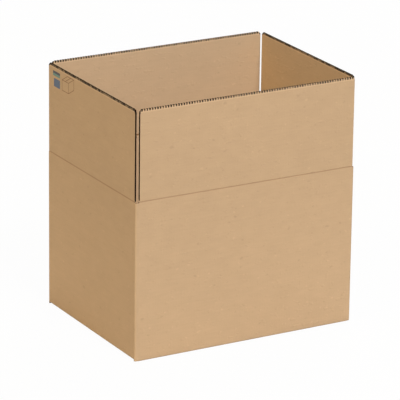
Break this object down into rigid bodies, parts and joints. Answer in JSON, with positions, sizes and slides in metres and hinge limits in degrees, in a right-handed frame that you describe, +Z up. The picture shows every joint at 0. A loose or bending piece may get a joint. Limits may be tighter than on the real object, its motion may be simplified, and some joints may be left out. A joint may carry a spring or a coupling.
{
  "type": "open cardboard box",
  "caption": "Plain regular slotted carton of corrugated board, open at the top with its flaps standing upright, for packing and shipping goods.",
  "frame": {"origin": "middle of the underside, at floor level", "axes": "+Z up through the open mouth, +X along the long front wall, -Y out of the front wall"},
  "size_m": [0.6, 0.45, 0.6262],
  "materials": {
    "kraft_board": "matt brown kraft liner",
    "fluted_kraft": "matt brown kraft liners on a fluted medium"
  },
  "bodies": {
    "carton": {"carton_body": "kraft_board"},
    "front_flap": {"front_flap": "fluted_kraft"},
    "rear_flap": {"rear_flap": "fluted_kraft"},
    "left_flap": {"left_flap": "fluted_kraft"},
    "right_flap": {"right_flap": "fluted_kraft"}
  },
  "joints": [
    {"name": "front_crease", "type": "hinge", "parent": "carton", "child": "front_flap", "pos_m": [0, -0.225, 0.40215], "axis": [-1, 0, 0], "range_deg": [-170, 90]},
    {"name": "rear_crease", "type": "hinge", "parent": "carton", "child": "rear_flap", "pos_m": [0, 0.225, 0.40215], "axis": [1, 0, 0], "range_deg": [-170, 90]},
    {"name": "left_crease", "type": "hinge", "parent": "carton", "child": "left_flap", "pos_m": [-0.3, 0, 0.39785], "axis": [0, 1, 0], "range_deg": [-170, 90]},
    {"name": "right_crease", "type": "hinge", "parent": "carton", "child": "right_flap", "pos_m": [0.3, 0, 0.39785], "axis": [0, -1, 0], "range_deg": [-170, 90]}
  ]
}
